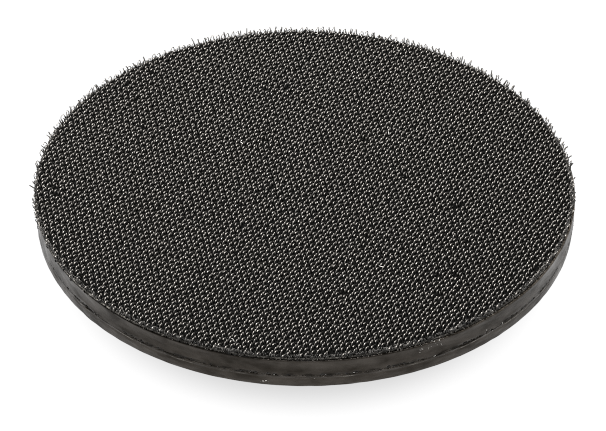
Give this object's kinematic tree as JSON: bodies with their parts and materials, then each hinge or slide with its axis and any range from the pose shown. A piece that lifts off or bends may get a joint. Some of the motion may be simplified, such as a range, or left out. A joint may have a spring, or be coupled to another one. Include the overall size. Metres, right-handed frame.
{
  "type": "sander backing pad",
  "caption": "Round flat sander backing pad with a hook face on layered foam, a stiff plate, a riveted steel hub and a threaded stud.",
  "frame": {"origin": "centre of the hub's flat seat, where the sander's spindle meets the pad", "axes": "+Z along the pad's axis, out of the hook face; the stud points along -Z"},
  "size_m": [0.1524, 0.1524, 0.0278],
  "materials": {
    "hook_nylon": "semi-gloss monofilament",
    "ground_fabric": "fine plain weave",
    "glue_film": "satin",
    "soft_foam": "satin moulded skin",
    "seam_glue": "matt",
    "firm_urethane": "matt to satin",
    "glass_fibre": "woven glass in amber resin",
    "plated_steel": "turned and zinc plated",
    "plain_steel": "pressed",
    "rivet_steel": "plated, satin"
  },
  "bodies": {
    "backing": {"cushion_foam": "soft_foam", "bond_film": "seam_glue", "base_layer": "firm_urethane", "backing_plate": "glass_fibre", "hub_flange": "plated_steel", "clamp_plate": "plain_steel", "threaded_stud": "plated_steel", "flange_rivets": "rivet_steel"},
    "face": {"hook_pile": "hook_nylon", "hook_fabric": "ground_fabric", "hook_adhesive": "glue_film"}
  },
  "joints": [
    {"name": "cushion_press", "type": "slide", "parent": "backing", "child": "face", "axis": [0, 0, -1], "range_m": [0, 0.00125], "stiffness_N_per_m": 400000, "deforming": ["cushion_foam"]}
  ]
}
